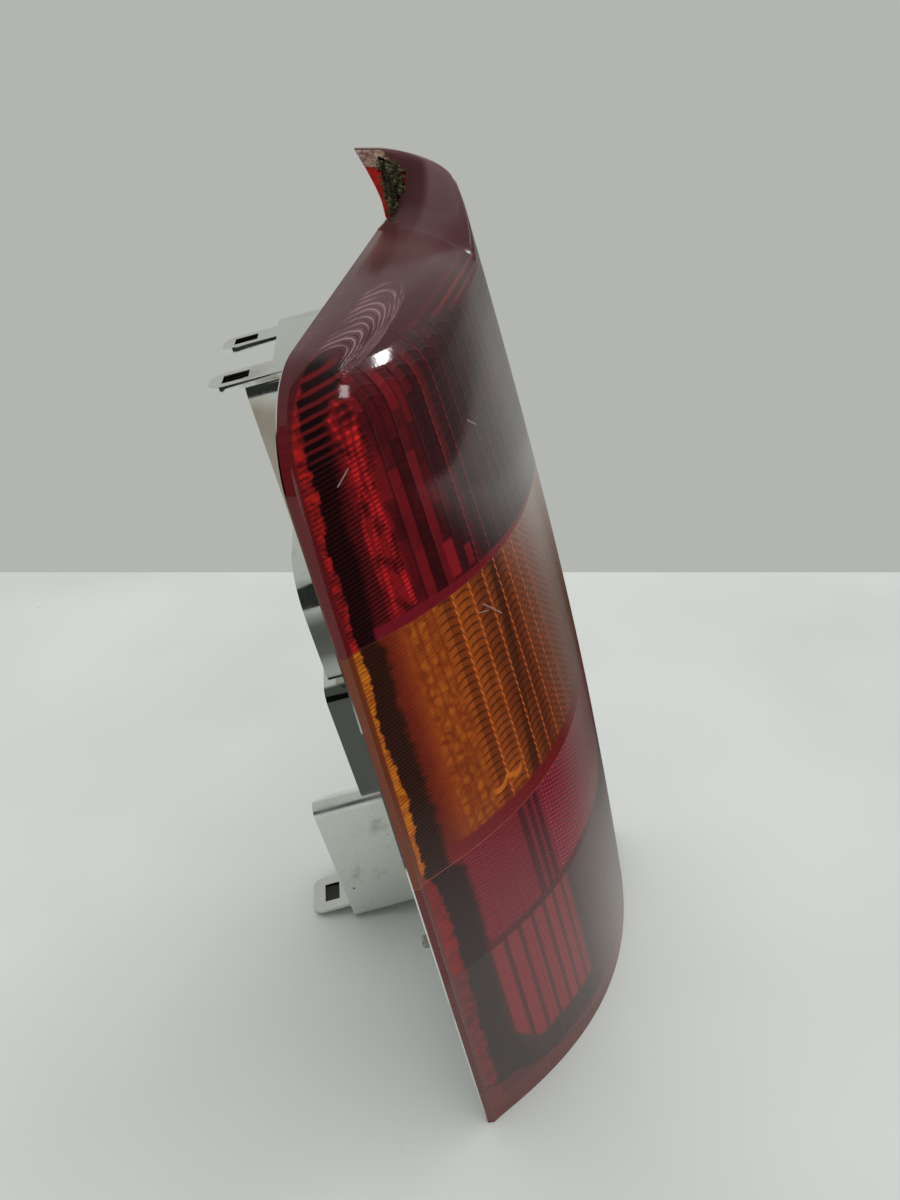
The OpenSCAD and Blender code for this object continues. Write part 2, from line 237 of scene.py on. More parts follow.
class Mat:
    """Builds one procedural material."""

    def __init__(self, name):
        self.material = bpy.data.materials.new(name)
        self.material.use_nodes = True
        self.tree = self.material.node_tree
        self.tree.nodes.clear()
        self.out = self.node("ShaderNodeOutputMaterial")
        self.bsdf = self.node("ShaderNodeBsdfPrincipled")
        self.tree.links.new(self.bsdf.outputs[0], self.out.inputs["Surface"])

    def node(self, kind, **settings):
        n = self.tree.nodes.new(kind)
        for k, v in settings.items():
            setattr(n, k, v)
        return n

    def put(self, value, socket):
        if isinstance(value, Value):
            self.tree.links.new(value.socket, socket)
        elif hasattr(value, "is_linked"):
            self.tree.links.new(value, socket)
        else:
            socket.default_value = value

    def math(self, op, *args, clamp=False):
        n = self.node("ShaderNodeMath", operation=op, use_clamp=clamp)
        for i, a in enumerate(args):
            self.put(a, n.inputs[i])
        return Value(self, n.outputs[0])

    def least(self, a, b): return self.math("MINIMUM", a, b)
    def most(self, a, b): return self.math("MAXIMUM", a, b)
    def floor(self, a): return self.math("FLOOR", a)
    def fract(self, a): return self.math("FRACT", a)
    def size(self, a): return self.math("ABSOLUTE", a)
    def wave(self, a): return self.math("SINE", a * (2 * math.pi)) * 0.5 + 0.5

    def ramp(self, x, lo, hi):
        """0 below lo and 1 above hi, smooth between them. hi may be under lo."""
        n = self.node("ShaderNodeMapRange", interpolation_type="SMOOTHSTEP", clamp=True)
        flip = hi < lo
        self.put(x, n.inputs["Value"])
        n.inputs["From Min"].default_value = min(lo, hi)
        n.inputs["From Max"].default_value = max(lo, hi)
        n.inputs["To Min"].default_value = 1.0 if flip else 0.0
        n.inputs["To Max"].default_value = 0.0 if flip else 1.0
        return Value(self, n.outputs["Result"])

    def between(self, x, a, b, soft):
        return self.ramp(x, a - soft, a + soft) * self.ramp(x, b + soft, b - soft)

    def line(self, x, width):
        """1 where x is near 0, over a width."""
        return self.ramp(self.size(x), width, width * 0.35)

    def mix(self, a, b, fac):
        n = self.node("ShaderNodeMix", data_type="RGBA")
        n.clamp_factor = True
        self.put(fac, n.inputs[0])
        self.put(a, n.inputs[6])
        self.put(b, n.inputs[7])
        return n.outputs[2]

    def curve(self, x, points, x_max, y_max):
        """A line through measured points, as a function of x."""
        n = self.node("ShaderNodeFloatCurve")
        self.put(x / x_max, n.inputs["Value"])
        line = n.mapping.curves[0].points
        n.mapping.extend = "HORIZONTAL"
        for k, (a, b) in enumerate(sorted(points)):
            p = line[k] if k < 2 else line.new(a / x_max, b / y_max)
            p.location = (a / x_max, b / y_max)
            p.handle_type = "VECTOR"
        n.mapping.update()
        return Value(self, n.outputs[0]) * y_max

    def cells(self, vector, scale):
        """Distance to the nearest edge of a net of irregular cells."""
        n = self.node("ShaderNodeTexVoronoi", feature="DISTANCE_TO_EDGE")
        self.tree.links.new(vector, n.inputs["Vector"])
        n.inputs["Scale"].default_value = scale
        return Value(self, n.outputs["Distance"])

    def attribute(self, name):
        n = self.node("ShaderNodeAttribute", attribute_name=name)
        split = self.node("ShaderNodeSeparateXYZ")
        self.tree.links.new(n.outputs["Vector"], split.inputs[0])
        return [Value(self, split.outputs[i]) for i in range(3)]

    def vector(self, x, y=0.0, z=0.0):
        n = self.node("ShaderNodeCombineXYZ")
        for i, v in enumerate((x, y, z)):
            self.put(v, n.inputs[i])
        return n.outputs[0]

    def spot(self):
        """The place on the object, in metres."""
        return self.node("ShaderNodeTexCoord").outputs["Object"]

    def noise(self, vector, scale, detail=2.0, rough=0.5, warp=0.0):
        n = self.node("ShaderNodeTexNoise")
        self.tree.links.new(vector, n.inputs["Vector"])
        n.inputs["Scale"].default_value = scale
        n.inputs["Detail"].default_value = detail
        n.inputs["Roughness"].default_value = rough
        n.inputs["Distortion"].default_value = warp
        return Value(self, n.outputs["Fac"])

    def chance(self, vector):
        n = self.node("ShaderNodeTexWhiteNoise", noise_dimensions="3D")
        self.tree.links.new(vector, n.inputs["Vector"])
        return Value(self, n.outputs["Value"])

    def bump(self, height, distance, strength=1.0, normal=None):
        n = self.node("ShaderNodeBump")
        n.inputs["Strength"].default_value = strength
        n.inputs["Distance"].default_value = distance
        self.put(height, n.inputs["Height"])
        if normal is not None:
            self.tree.links.new(normal, n.inputs["Normal"])
        return n.outputs["Normal"]

    def set(self, **values):
        names = {"color": "Base Color", "rough": "Roughness", "metal": "Metallic", "normal": "Normal",
                 "coat": "Coat Weight", "coat_rough": "Coat Roughness", "coat_normal": "Coat Normal",
                 "coat_ior": "Coat IOR", "level": "Specular IOR Level", "ior": "IOR", "sheen": "Sheen Weight",
                 "sheen_rough": "Sheen Roughness", "sheen_tint": "Sheen Tint", "glow": "Emission Color",
                 "glow_strength": "Emission Strength", "alpha": "Alpha"}
        for k, v in values.items():
            self.put(v, self.bsdf.inputs[names[k]])
        return self.material


# ---------------------------------------------------------------- lens materials

# Edges of the strip beside the rim, painted bright as light let in at the rim, and of the dark band beside it, as
# height and place across, in mm
LIT_STRIP_END = [(8, 4.2), (41, 4.4), (64, 4.7), (92, 5.3), (119, 5.4), (133, 4.9), (138, 3.6), (155, 3.5), (170, 4.8),
             (187, 4.2), (202, 3.4), (219, 4.9), (229, 4.6), (234, 3.9), (252, 5.0), (261, 3.9), (268, 4.6),
             (274, 5.7), (286, 6.0), (292, 8.1), (297, 9.6), (301, 13.3), (305, 18.5)]
BAND_END = [(22, 14.8), (42, 11.4), (68, 11.7), (89, 12.2), (108, 13.2), (133, 12.8), (138, 9.4), (170, 10.3),
            (202, 9.5), (225, 10.4), (233, 9.0), (253, 10.6), (269, 10.2), (282, 12.3), (289, 13.0), (294, 14.6),
            (299, 20.3), (302, 26.0), (306, 34.0)]
# Rows of painted glints, bright beads where the ribs end
GLINT_ROWS = [[(232, 22.4), (251, 21.0), (271, 20.4), (282, 19.8), (290, 21.0), (298.6, 25.2), (303, 28.5)],
         [(232, 16.2), (245, 16.4), (259, 17.0), (268, 18.6), (277, 17.2), (287, 18.2), (297, 20.5)],
         [(236, 14.4), (252, 14.6), (263, 14.7), (277, 16.8), (286, 16.1)]]
CRACK = [(1.5, 21.9), (4.5, 18.9), (8.7, 19.4), (14.3, 14.3), (22.8, 11.6), (38.9, 4.9), (49.6, 4.0), (60, 1.5)]


def segment(m, x, z, p, q, width):
    """A short straight scratch between two places on the lens."""
    dx, dz = q[0] - p[0], q[1] - p[1]
    length2 = dx * dx + dz * dz
    t = m.math("ADD", ((x - p[0]) * dx + (z - p[1]) * dz) / length2, 0.0, clamp=True)
    ex, ez = x - (t * dx + p[0]), z - (t * dz + p[1])
    return m.ramp(m.math("SQRT", ex * ex + ez * ez), width, width * 0.3)


def top_z_value(m, x):
    """Height of the upper edge of the lens over x, as shader math."""
    inner = m.math("SUBTRACT", 1.0, x / CORNER_R, clamp=True)
    fall = (1.0 - m.math("SQRT", 1.0 - inner * inner)) * CORNER_DROP
    return (LENS_H - HORN_H - TOP_RISE * WIDTH) + x * TOP_RISE - fall


def lens_skin(kind):
    """The lens as it is seen from outside: the optics under a clear, weathered surface, with painted glints, painted
    sheen and a strip painted bright as light let in at the rim.
    """
    m = Mat("lens_skin_" + kind)
    x, z, depth = m.attribute("place")
    u = m.attribute("rim")[0]
    spot = m.spot()
    grain = m.noise(spot, 900, 3)
    blotch = m.noise(spot, 70, 4, 0.6)
    cloud = m.noise(spot, 24, 3, 0.55)
    rag = m.noise(m.vector(x * 0.20, z * 0.17, 3.0), 1.0, 5, 0.72) - 0.5
    rag2 = m.noise(m.vector(x * 0.16, z * 0.23, 9.0), 1.0, 5, 0.70) - 0.5

    # fine ribs beside the rim, coarser at the upper corner
    level = z - x * 0.15 + rag * 0.5
    rib = m.wave(m.least(level, 284.0) / 1.4 + m.most(level - 284.0, 0.0) / 2.4)
    # rib crests: mostly painted lighter as painted glints, and in places darker as lines of the ribs
    rib_lines_and_glints = m.ramp(rib, 0.45, 0.95)
    lit_strip_end = m.curve(z, LIT_STRIP_END, LENS_H, 40.0)
    band_end = m.curve(z, BAND_END, LENS_H, 40.0)
    # the strip next to the rim is painted bright, as painted light let in at the rim
    lit_strip = m.ramp(x - lit_strip_end - rag * 5.0, 0.45, -0.35)
    dark = (1.0 - lit_strip) * m.ramp(x - band_end - rag2 * 6.0, 1.6, -1.2)
    flange = m.ramp(u, 1.15, 0.75) + m.ramp(depth, 3.3, 2.9)

    # columns of the optics over the face
    col = (x - FLUTE_X0) / FLUTE_PITCH
    number = m.floor(col)
    col_f = m.fract(col)
    off_edge = (0.5 - m.size(col_f - 0.5)) * FLUTE_PITCH
    arc = (col_f - 0.5) * (col_f - 0.5) * 1.4
    rung = m.fract(z / 3.2 + number * 0.37 + arc)
    # painted glints: bright dashes along the edges of the columns
    glint_dash = m.ramp(off_edge, 0.6, 0.25) * m.ramp(m.size(rung - 0.5), 0.36, 0.16)
    rung_dark = m.ramp(m.size(rung - 0.5), 0.28, 0.46)
    half = m.floor(col * 2.0)
    block = m.chance(m.vector(half, m.floor(z / 13.0 + half * 0.41), 5.0))
    tone = m.chance(m.vector(half, 2.0, 2.0))
    dust_and_sheen_tone = rgb(164, 152, 146)

    if kind == "upper":
        flange_c, dark_c = m.mix(rgb(92, 12, 20), rgb(112, 18, 22), blotch), rgb(22, 3, 5)
        flange_c = m.mix(flange_c, m.mix(rgb(60, 14, 20), rgb(76, 22, 28), blotch), m.ramp(z, 282.0, 308.0))
        lit_strip_c = m.mix(rgb(84, 7, 12), rgb(206, 24, 16), rib_lines_and_glints * 0.3 + m.ramp(rag2, -0.10, 0.20) * 0.7)
        base = m.mix(rgb(58, 4, 10), rgb(112, 10, 18), rib_lines_and_glints * 0.8)
        # painted glints: bright red beads in rows where the ribs end
        glint_beads = None
        for k, line in enumerate(GLINT_ROWS):
            off = m.line(x - m.curve(z, line, LENS_H, 40.0), 1.15 - 0.2 * k)
            glint_beads = off if glint_beads is None else m.most(glint_beads, off * (0.9 - 0.15 * k))
        glint_beads = glint_beads * m.ramp(z, 230.5, 238.0) * m.ramp(z, 304.0, 299.0)
        # painted glow of glints over the ribs beside the rows of beads
        glow = m.ramp(m.noise(m.vector(x * 0.2, z * 0.11, 6.0), 1.0, 3, 0.6), 0.36, 0.62)
        base = m.mix(base, rgb(176, 12, 22), m.ramp(x, 12.5, 16.0) * m.ramp(x, 27.0, 21.0) * glow * 0.55)
        base = m.mix(base, rgb(250, 28, 34), glint_beads * (rib_lines_and_glints * 0.75 + 0.15) * (glow * 0.8 + 0.2))
        red, deep = rgb(122, 10, 22), rgb(60, 5, 13)
        face_c = m.mix(deep, red, m.ramp(block * 0.3 + tone * 0.35 + blotch * 0.55, 0.36, 0.92))
        face_c = m.mix(face_c, rgb(52, 20, 26), m.ramp(x, 33.0, 66.0) * 0.86)
        face_c = m.mix(face_c, rgb(38, 4, 10), m.ramp(m.size(m.fract(col * 2.0) - 0.5), 0.30, 0.48) * 0.5)
        face_c = m.mix(face_c, rgb(150, 18, 30), glint_dash * m.ramp(x, 44.0, 49.0) * m.ramp(x, 72.0, 62.0) * 0.75)
        low_block = m.between(x, 38.0, 42.5, 0.5) * m.between(z, 234.0, 246.5, 0.6)
        low_block = m.most(low_block, m.between(x, 47.0, 50.5, 0.5) * m.between(z, 233.5, 241.0, 0.8) * 0.7)
        face_c = m.mix(face_c, rgb(150, 16, 30), low_block * (blotch * 0.6 + 0.5))
        face_c = m.mix(face_c, rgb(122, 18, 30), m.line(z - 306.6 - x * 0.01, 0.6) * m.between(x, 54.0, 74.0, 1.0))
        face = m.ramp(x + rag * 2.0, 22.0, 24.5) * m.ramp(z + rag * 2.0, 305.5, 302.0)
        face = m.most(face, m.ramp(x, 52.0, 58.0) * m.ramp(z, 309.0, 305.5))
        gap = z - (RED_Z - x * math.tan(BAND_TILT))
        margin = m.ramp(gap + x * 0.025, 4.8, 3.9)
        margin_c = m.mix(rgb(112, 10, 30), rgb(130, 16, 34), blotch)
        drop = top_z_value(m, x) - z
        shoulder = m.ramp(drop, 10.5, 6.5) * m.ramp(x, 26.0, 38.0)
        top_c = m.mix(rgb(58, 14, 22), rgb(78, 26, 32), cloud)
        # painted sheen: the top wall is painted paler towards its top
        top_c = m.mix(top_c, rgb(118, 90, 92), m.ramp(z, 316.0, 346.0) * (cloud * 0.3 + 0.5))
        # painted highlights: loops of rib glints fanning round the shoulder
        hook = x + (drop - 2.7) * (drop - 2.7) * 4.4
        drift = (m.noise(m.vector(x * 0.035, drop * 0.16, 8.0), 1.0, 2, 0.5) - 0.5) * 16.0
        strand = m.ramp(m.wave((hook + drift) / 5.6), 0.55, 1.0) * 0.7 + m.ramp(m.wave((hook + drift) / 1.9), 0.6, 1.0) * 0.4
        inside_fan = m.ramp(hook, 97.0, 92.0) * m.ramp(hook, 22.0, 46.0)
        fan_glints = strand * inside_fan * m.ramp(m.noise(m.vector(hook * 0.12, x * 0.05, 2.0), 1.0, 3, 0.6), 0.34, 0.62)
        top_c = m.mix(top_c, rgb(196, 150, 158), fan_glints * 0.48 * m.ramp(drop, 10.0, 7.0))
        dust_and_sheen = m.ramp(x, 92.0, 145.0) * 0.16
    elif kind == "amber":
        flange_c, dark_c = m.mix(rgb(108, 44, 18), rgb(126, 60, 26), blotch), rgb(40, 18, 9)
        lit_strip_c = m.mix(rgb(150, 66, 8), rgb(224, 128, 14), rib_lines_and_glints * 0.45 + m.ramp(rag2, -0.14, 0.14) * 0.6)
        lit_strip_c = m.mix(lit_strip_c, rgb(120, 30, 14), m.ramp(z, 143.0, 139.0) * 0.8)
        base = m.mix(rgb(122, 34, 12), rgb(156, 62, 14), m.ramp(x + rag * 6.0, 11.0, 17.0))
        base = m.mix(base, rgb(96, 26, 9), rib_lines_and_glints * m.ramp(x, 18.0, 12.0) * 0.5)
        net = m.cells(m.vector(x * 0.30 + rag * 0.7, z * 0.22 + rag2 * 0.7, 0.0), 1.0)
        bubbles = m.mix(rgb(126, 46, 8), rgb(204, 104, 14), m.ramp(net, 0.0, 0.34) * 0.38 + m.ramp(rag2, -0.2, 0.2) * 0.45)
        flow = m.wave(x / 3.1 + rag * 0.8 + z * 0.012)
        bubbles = m.mix(bubbles, rgb(134, 42, 10), m.ramp(flow, 0.6, 0.9) * 0.5)
        base = m.mix(base, bubbles, m.ramp(x + rag * 3.0, 15.0, 18.5))
        face_c = m.mix(rgb(128, 54, 12), rgb(178, 84, 16), m.ramp(tone * 0.4 + blotch * 0.6, 0.3, 0.8))
        face_c = m.mix(face_c, rgb(104, 44, 20), m.ramp(x, 38.0, 56.0) * 0.7)
        face_c = m.mix(face_c, rgb(70, 26, 9), rung_dark * m.ramp(off_edge, 0.6, 1.6) * m.ramp(x, 78.0, 64.0) * 0.75)
        face_c = m.mix(face_c, rgb(60, 26, 12), m.ramp(m.size(x - 28.8 - z * 0.137), 3.4, 1.6) * 0.6)
        cross = m.wave(x / 4.25 + z / 3.2) * m.wave(x / 4.25 - z / 3.2)
        face_c = m.mix(face_c, rgb(172, 92, 44), m.ramp(cross, 0.25, 0.7) * m.ramp(x, 66.0, 78.0) * 0.8)
        face_c = m.mix(face_c, rgb(232, 112, 40), glint_dash * m.ramp(x, 30.0, 34.0) * m.ramp(x, 96.0, 80.0) * 0.95)
        feet = m.between(z - arc * 9.0, 149.5, 152.0, 0.5) * m.between(x, 18.0, 42.0, 1.0)
        face_c = m.mix(face_c, rgb(226, 120, 30), feet * 0.75)
        face = m.ramp(x + rag * 4.0, 26.5, 30.0)
        gap = z - (AMBER_Z - x * math.tan(BAND_TILT))
        margin = m.ramp(gap + rag * 2.5, 8.6, 5.6) * m.ramp(x, 9.0, 12.0)
        margin_c = m.mix(rgb(116, 16, 28), rgb(132, 28, 28), blotch)
        top_c, shoulder = face_c, 0.0
        dust_and_sheen = m.ramp(x, 64.0, 118.0) * 0.56
    elif kind == "rose":
        flange_c, dark_c = rgb(100, 22, 26), rgb(42, 18, 20)
        lit_strip_c = m.mix(rgb(110, 14, 22), rgb(156, 28, 26), rib_lines_and_glints * 0.4 + m.ramp(rag2, -0.14, 0.14) * 0.6)
        base = m.mix(rgb(100, 16, 30), rgb(124, 24, 38), rib_lines_and_glints * 0.5)
        weave = m.wave(z / 1.8 + m.wave(x / 4.2) * 0.5)
        face_c = m.mix(rgb(104, 16, 30), rgb(150, 34, 52), weave * 0.6 + blotch * 0.3)
        # painted glints: a grid of pink dots
        glint_dots = m.wave(z / 2.1 + x / 4.0) * m.wave(z / 2.1 - x / 4.0)
        face_c = m.mix(face_c, rgb(214, 66, 96), m.ramp(glint_dots, 0.35, 0.85) * m.ramp(x, 45.5, 47.5) * 0.8)
        stripe = m.line(x - 35.6, 2.0) + m.line(x - 39.9, 1.7) + m.line(x - 43.6, 1.7)
        face_c = m.mix(face_c, rgb(72, 12, 24), stripe * 0.8)
        face = m.ramp(x + rag * 1.5, 12.6, 13.8)
        gap = z - (ROSE_Z - x * math.tan(BAND_TILT))
        margin = m.ramp(gap + rag * 1.5, 4.4, 3.2) * m.ramp(x, 12.0, 13.5)
        margin_c = rgb(94, 20, 30)
        top_c, shoulder = face_c, 0.0
        dust_and_sheen = m.ramp(x, 50.0, 100.0) * 0.52
    else:
        flange_c, dark_c = rgb(94, 24, 28), rgb(44, 26, 26)
        lit_strip_c = m.mix(rgb(92, 20, 24), rgb(128, 30, 30), m.ramp(rag2, -0.14, 0.14))
        base = m.mix(rgb(66, 26, 28), rgb(86, 32, 34), blotch)
        bar = (0.5 - m.size(m.fract((x - 11.9) / 5.4) - 0.5)) * 5.4
        bars = m.ramp(z - 24.5 - m.most(19.0 - x, 0.0) * 2.0 - rag * 5.0, -1.5, 2.5) * m.ramp(z + x * 0.014, 88.6, 87.4)
        bars = bars * m.ramp(x, 11.6, 12.8) * m.ramp(x, 50.5, 45.5)
        weave = m.wave(z / 1.7 - x / 6.0) * 0.45 + grain * 0.3
        bar_c = m.mix(rgb(122, 22, 34), rgb(164, 36, 46), weave)
        bar_c = m.mix(bar_c, rgb(64, 18, 24), m.ramp(off_bar(m, x), 1.25, 0.3) * 0.8)
        face_c = m.mix(m.mix(rgb(62, 34, 34), rgb(84, 54, 52), m.ramp(x, 44.0, 64.0)), bar_c, bars)
        face = m.ramp(x + rag * 2.0, 11.4, 12.8)
        margin = m.ramp(z + rag * 2.0 + x * 0.02, 12.5, 10.0)
        margin_c = m.mix(rgb(98, 40, 40), rgb(112, 56, 52), blotch)
        top_c, shoulder = face_c, 0.0
        dust_and_sheen = m.ramp(x, 42.0, 84.0) * 0.26 + 0.05

    color = m.mix(base, face_c, face)
    color = m.mix(color, dark_c, dark * 0.97)
    if kind in ("upper", "amber", "rose"):
        hatch = {"upper": rgb(112, 12, 18), "amber": rgb(104, 44, 16), "rose": rgb(84, 26, 28)}[kind]
        weight = m.ramp(z, 282.0, 291.0) * 0.62 + 0.14 if kind == "upper" else 0.2
        color = m.mix(color, hatch, dark * rib_lines_and_glints * weight)
    color = m.mix(color, margin_c, margin * m.ramp(x, band_edge(kind), band_edge(kind) + 1.5))
    color = m.mix(color, lit_strip_c, lit_strip)
    if kind == "upper":
        color = m.mix(color, top_c, shoulder)
    color = m.mix(color, flange_c, m.math("MINIMUM", flange, 1.0))
    # painted paler towards the far side: partly dust, partly a painted sheen and reflection of the pale surroundings
    dust_and_sheen = dust_and_sheen * (1.0 - m.ramp(x, 120.0, 142.0) * 0.65)
    color = m.mix(color, dust_and_sheen_tone, dust_and_sheen * (cloud * 0.5 + 0.75))

    # line where two shots meet, and the dirt that sits in it
    if kind != "lower":
        start = {"upper": RED_Z, "amber": AMBER_Z, "rose": ROSE_Z}[kind]
        edge = z - (start - x * math.tan(BAND_TILT))
        line_c = {"upper": rgb(120, 52, 34), "amber": rgb(176, 86, 70), "rose": rgb(84, 26, 32)}[kind]
        color = m.mix(color, line_c, m.ramp(edge, 0.5, 0.2) * (0.8 if kind == "amber" else 0.55))

    # scratches, scuffs and dust
    marks = 0.0
    if kind == "upper":
        marks = segment(m, x, z, (11.4, 277.8), (15.4, 281.2), 0.3) + segment(m, x, z, (74, 274.6), (80, 271), 0.35)
    elif kind == "amber":
        marks = segment(m, x, z, (47.4, 218.5), (55.7, 209.6), 0.35) + segment(m, x, z, (44, 217), (49, 215), 0.25)
    scuffs = m.ramp(m.noise(m.vector(x * 0.9 + z * 0.35, z * 0.06 - x * 0.02, 0.0), 1.0, 3, 0.7), 0.71, 0.79)
    dust = marks * 0.7 + scuffs * m.ramp(cloud, 0.5, 0.62) * 0.2
    color = m.mix(color, rgb(176, 150, 146), m.math("MINIMUM", dust, 0.85))
    weather = grain * 0.2 + blotch * 0.3 + dust
    if kind == "lower":
        path = z - m.curve(x, CRACK, WIDTH, 40.0) - (m.noise(m.vector(x * 0.5, 0.0, 4.0), 1.0, 3, 0.7) - 0.5) * 1.6
        open_ = m.ramp(x, 60.0, 54.0)
        crack = m.ramp(m.size(path), 0.38, 0.12) * open_
        color = m.mix(color, m.mix(rgb(96, 42, 40), rgb(112, 58, 54), blotch), m.ramp(path, 0.0, -0.8) * open_ * 0.6)
        color = m.mix(color, rgb(26, 10, 11), crack)
        weather = weather - crack * 8.0

    # relief of the optics under the clear surface
    relief = rib * (1.0 - face) * (1.0 - shoulder) * 0.3 + face * (m.ramp(off_edge, 0.9, 0.2) * 0.5 + rung_dark * 0.2)
    normal = m.bump(relief, 0.0005, 0.6)
    if kind == "upper":
        weather = weather + shoulder * fan_glints * 1.2
    return m.set(color=color, rough=0.42, level=0.12, normal=normal, coat=0.8, coat_ior=1.45,
                 coat_normal=m.bump(weather, 0.0001, 0.4),
                 coat_rough=m.ramp(x, 50.0, 110.0) * 0.12 + blotch * 0.05 + 0.03)


def band_edge(kind):
    """Place across where the margin along a seam starts, beside the dark band."""
    return {"upper": 8.5, "amber": 9.0, "rose": 12.0, "lower": 1.5}[kind]


def off_bar(m, x):
    """Distance from the nearest gap between the bars of the lower shot."""
    return (0.5 - m.size(m.fract((x - 11.9) / 5.4) - 0.5)) * 5.4


def lens_inside_backlit(kind, low, high):
    """The fluted inner side of the lens, and its rim, painted bright as painted light shining through the lens."""
    m = Mat("lens_inside_backlit_" + kind)
    x, z, depth = m.attribute("place")
    blotch = m.noise(m.spot(), 90, 4, 0.6)
    flutes = m.wave((x - FLUTE_X0) / FLUTE_PITCH + 0.25)
    rungs = m.wave(z / 3.3)
    color = m.mix(low, high, m.ramp(blotch + flutes * 0.3, 0.35, 0.9))
    return m.set(color=color, rough=m.ramp(blotch, 0.3, 0.7) * 0.2 + 0.22, level=0.5,
                 normal=m.bump(rungs * 0.6 + blotch * 0.3, 0.0004, 0.7))


def broken_plastic():
    m = Mat("broken_edge")
    spot = m.spot()
    grain = m.noise(spot, 700, 4, 0.7)
    color = m.mix(rgb(120, 74, 66), rgb(206, 178, 160), m.ramp(grain, 0.35, 0.7))
    return m.set(color=color, rough=0.6, normal=m.bump(grain, 0.0005, 0.8))


# ---------------------------------------------------------------- lens pieces

def set_place(mesh):
    """Gives each point its place on the lens in mm: x, z, and depth below the rim plane, and the
    distance from the outer and upper edge."""
    p = np.empty(len(mesh.vertices) * 3, np.float32)
    mesh.vertices.foreach_get("co", p)
    p = p.reshape(-1, 3).astype(float) * 1000.0 - OFFSET
    u, s = rim_place(p[:, 0], p[:, 2])
    depth = rim_y(p[:, 0], p[:, 2]) - p[:, 1]
    set_vector(mesh, "place", np.stack([p[:, 0], p[:, 2], depth], 1))
    set_vector(mesh, "rim", np.stack([u, s, depth], 1))


def sighted(name, outline, x_near, x_far, material, ragged=0.0):
    """A closed block whose outline is seen through (u, v) of the picture, between two depths x."""
    verts, faces = [], []
    stations = 10
    line = []
    for (u0, v0), (u1, v1) in zip(outline, outline[1:] + outline[:1]):
        n = max(1, int(math.hypot(u1 - u0, v1 - v0) / 3.0))
        line += [(u0 + (u1 - u0) * k / n, v0 + (v1 - v0) * k / n) for k in range(n)]
    for x in np.linspace(x_near, x_far, stations):
        for u, v in line:
            p = sight(u, v, x)
            verts.append(tuple(p + np.array(noise.noise_vector(Vector(p) * 0.45)) * [0.0, ragged, ragged]))
    n = len(line)
    for r in range(stations - 1):
        for k in range(n):
            a, b = r * n + k, r * n + (k + 1) % n
            faces.append((a, b, b + n, a + n))
    faces.append(tuple(range(n))[::-1])
    faces.append(tuple((stations - 1) * n + k for k in range(n)))
    obj = new_object(name, to_part(verts), faces, [material])
    bm = bmesh.new()
    bm.from_mesh(obj.data)
    bmesh.ops.recalc_face_normals(bm, faces=bm.faces)
    bm.to_mesh(obj.data)
    bm.free()
    return obj


def corner_cutters(material):
    """What is broken out of the raised corner: its near wall and top, then the edge of the far wall."""
    near = [(383, 150), (388, 157), (397, 164), (406, 173), (405, 188), (398, 203), (387.5, 220), (376, 226), (340, 226),
            (340, 110), (383, 110)]
    far = [(361.5, 152), (363, 163), (369, 180), (379, 203), (387.5, 220), (376, 230), (340, 230), (340, 152)]
    return [sighted("near_cutter", near, 112.0, WIDTH - LENS_T - 0.1, material, 0.7),
            sighted("far_cutter", far, 112.0, WIDTH + 12.0, material, 0.35)]


